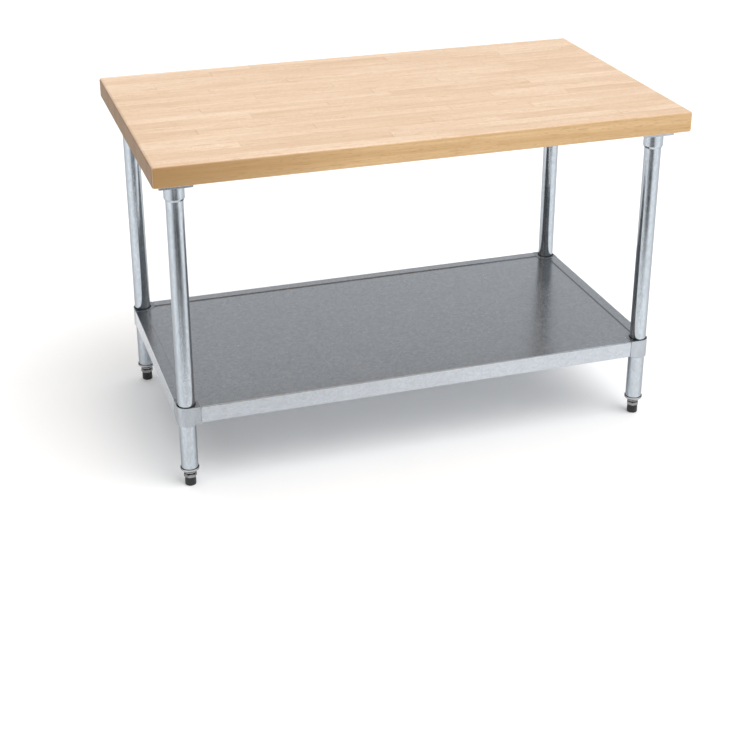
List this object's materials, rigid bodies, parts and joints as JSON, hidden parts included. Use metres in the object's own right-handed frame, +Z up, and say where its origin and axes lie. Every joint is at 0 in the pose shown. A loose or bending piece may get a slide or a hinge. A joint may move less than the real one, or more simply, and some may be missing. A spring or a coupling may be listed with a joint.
{
  "type": "work table",
  "caption": "Work table with a thick edge-glued wood top, tubular metal legs on levelling feet and a height-adjustable sheet metal undershelf.",
  "frame": {"origin": "on the floor, at the centre of the footprint", "axes": "+X along the length to the right, +Y to the back, +Z up; the table is the same from front and back"},
  "size_m": [1.4, 0.79, 0.9],
  "materials": {
    "maple": "oiled edge-grain hard maple, satin",
    "galvanised": "galvanised sheet, fine spangle, semi-matt",
    "galvanised_tube": "galvanised tube, faint lengthwise draw marks",
    "cast_alloy": "die-cast aluminium alloy, tumbled",
    "plated": "nickel-plated steel",
    "zinc_screw": "zinc-plated steel",
    "black_screw": "black oxide steel",
    "black_plastic": "moulded nylon, satin"
  },
  "bodies": {
    "frame": {"top_stave_01": "maple", "top_stave_02": "maple", "top_stave_03": "maple", "top_stave_04": "maple", "top_stave_05": "maple", "top_stave_06": "maple", "top_stave_07": "maple", "top_stave_08": "maple", "top_stave_09": "maple", "top_stave_10": "maple", "top_stave_11": "maple", "top_stave_12": "maple", "top_stave_13": "maple", "top_stave_14": "maple", "top_stave_15": "maple", "top_stave_16": "maple", "top_stave_17": "maple", "top_stave_18": "maple", "top_stave_19": "maple", "channel_left": "galvanised", "channel_right": "galvanised", "channel_screws": "zinc_screw", "socket_set_screws": "black_screw", "leg_socket_lf": "galvanised", "leg_socket_rf": "galvanised", "leg_socket_lb": "galvanised", "leg_socket_rb": "galvanised", "leg_lf": "galvanised_tube", "leg_rf": "galvanised_tube", "leg_lb": "galvanised_tube", "leg_rb": "galvanised_tube", "leg_insert_lf": "plated", "leg_insert_rf": "plated", "leg_insert_lb": "plated", "leg_insert_rb": "plated"},
    "undershelf": {"shelf_panel": "galvanised", "shelf_stiffener": "galvanised", "clamp_set_screws": "black_screw", "shelf_clamp_lf": "cast_alloy", "shelf_clamp_rf": "cast_alloy", "shelf_clamp_lb": "cast_alloy", "shelf_clamp_rb": "cast_alloy"},
    "foot_lf": {"foot_stud_lf": "plated", "foot_pad_lf": "black_plastic"},
    "foot_rf": {"foot_stud_rf": "plated", "foot_pad_rf": "black_plastic"},
    "foot_lb": {"foot_stud_lb": "plated", "foot_pad_lb": "black_plastic"},
    "foot_rb": {"foot_stud_rb": "plated", "foot_pad_rb": "black_plastic"}
  },
  "joints": [
    {"name": "shelf_height", "type": "slide", "parent": "frame", "child": "undershelf", "axis": [0, 0, 1], "range_m": [-0.12, 0.5]},
    {"name": "foot_lf_level", "type": "slide", "parent": "frame", "child": "foot_lf", "axis": [0, 0, -1], "range_m": [-0.002, 0.025]},
    {"name": "foot_rf_level", "type": "slide", "parent": "frame", "child": "foot_rf", "axis": [0, 0, -1], "range_m": [-0.002, 0.025]},
    {"name": "foot_lb_level", "type": "slide", "parent": "frame", "child": "foot_lb", "axis": [0, 0, -1], "range_m": [-0.002, 0.025]},
    {"name": "foot_rb_level", "type": "slide", "parent": "frame", "child": "foot_rb", "axis": [0, 0, -1], "range_m": [-0.002, 0.025]}
  ]
}
